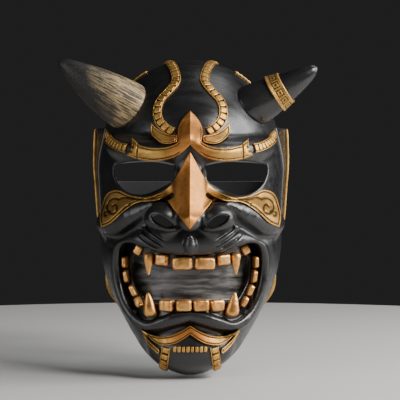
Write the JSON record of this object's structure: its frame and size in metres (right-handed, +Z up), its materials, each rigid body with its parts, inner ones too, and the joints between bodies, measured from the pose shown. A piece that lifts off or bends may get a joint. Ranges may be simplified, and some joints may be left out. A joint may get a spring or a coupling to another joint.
{
  "type": "horned demon mask",
  "caption": "Black and gilt horned demon face mask with open eyes and bared teeth, worn with an elastic strap.",
  "frame": {"origin": "middle of the head opening, in the plane of the flat back rim", "axes": "+Z up, the face looks along -Y, +X is on the viewer's right"},
  "size_m": [0.2364, 0.2514, 0.2879],
  "materials": {
    "black_resin": "satin black paint on cast resin",
    "gilt": "hand-rubbed gold paint with dark seams",
    "tooth_gilt": "coppery gold paint",
    "steel": "plain zinc-plated steel",
    "foam": "black cloth-faced foam",
    "webbing": "black woven elastic",
    "black_plastic": "moulded black acetal"
  },
  "bodies": {
    "mask": {"face_shell": "black_resin", "left_horn": "black_resin", "right_horn": "black_resin", "left_ear": "black_resin", "right_ear": "black_resin", "brow_crest": "gilt", "nose_and_cheek_trim": "gilt", "chin_trim": "gilt", "chin_comb": "gilt", "right_horn_ring": "gilt", "left_crest_petal": "gilt", "right_crest_petal": "gilt", "left_chin_stripe": "gilt", "right_chin_stripe": "gilt", "left_forehead_spine": "gilt", "right_forehead_spine": "gilt", "left_brow_spine": "gilt", "right_brow_spine": "gilt", "left_crown_strip": "gilt", "right_crown_strip": "gilt", "left_jaw_barb": "gilt", "right_jaw_barb": "gilt", "left_chin_bar": "gilt", "right_chin_bar": "gilt", "left_ear_rim": "gilt", "right_ear_rim": "gilt", "left_upper_inner_incisor": "tooth_gilt", "right_upper_inner_incisor": "tooth_gilt", "left_upper_outer_incisor": "tooth_gilt", "right_upper_outer_incisor": "tooth_gilt", "left_upper_molar": "tooth_gilt", "right_upper_molar": "tooth_gilt", "left_lower_inner_incisor": "tooth_gilt", "right_lower_inner_incisor": "tooth_gilt", "left_lower_outer_incisor": "tooth_gilt", "right_lower_outer_incisor": "tooth_gilt", "left_side_molar_1": "tooth_gilt", "right_side_molar_1": "tooth_gilt", "left_side_molar_2": "tooth_gilt", "right_side_molar_2": "tooth_gilt", "left_side_molar_3": "tooth_gilt", "right_side_molar_3": "tooth_gilt", "left_side_molar_4": "tooth_gilt", "right_side_molar_4": "tooth_gilt", "left_upper_fang": "tooth_gilt", "right_upper_fang": "tooth_gilt", "left_lower_fang": "tooth_gilt", "right_lower_fang": "tooth_gilt", "left_horn_screw": "steel", "right_horn_screw": "steel", "left_strap_screw": "steel", "right_strap_screw": "steel", "forehead_pad": "foam", "left_cheek_pad": "foam", "right_cheek_pad": "foam"},
    "strap": {"back_strap": "webbing", "left_strap_tab": "black_plastic", "right_strap_tab": "black_plastic"},
    "left_slider": {"left_strap_slider": "black_plastic"},
    "right_slider": {"right_strap_slider": "black_plastic"}
  },
  "joints": [
    {"name": "strap_swing", "type": "hinge", "parent": "mask", "child": "strap", "pos_m": [0, -0.014, 0.022], "axis": [1, 0, 0], "range_deg": [-35, 35]},
    {"name": "left_slider_slide", "type": "slide", "parent": "strap", "child": "left_slider", "axis": [0, 1, 0], "range_m": [-0.012, 0.016]},
    {"name": "right_slider_slide", "type": "slide", "parent": "strap", "child": "right_slider", "axis": [0, 1, 0], "range_m": [-0.012, 0.016]}
  ]
}
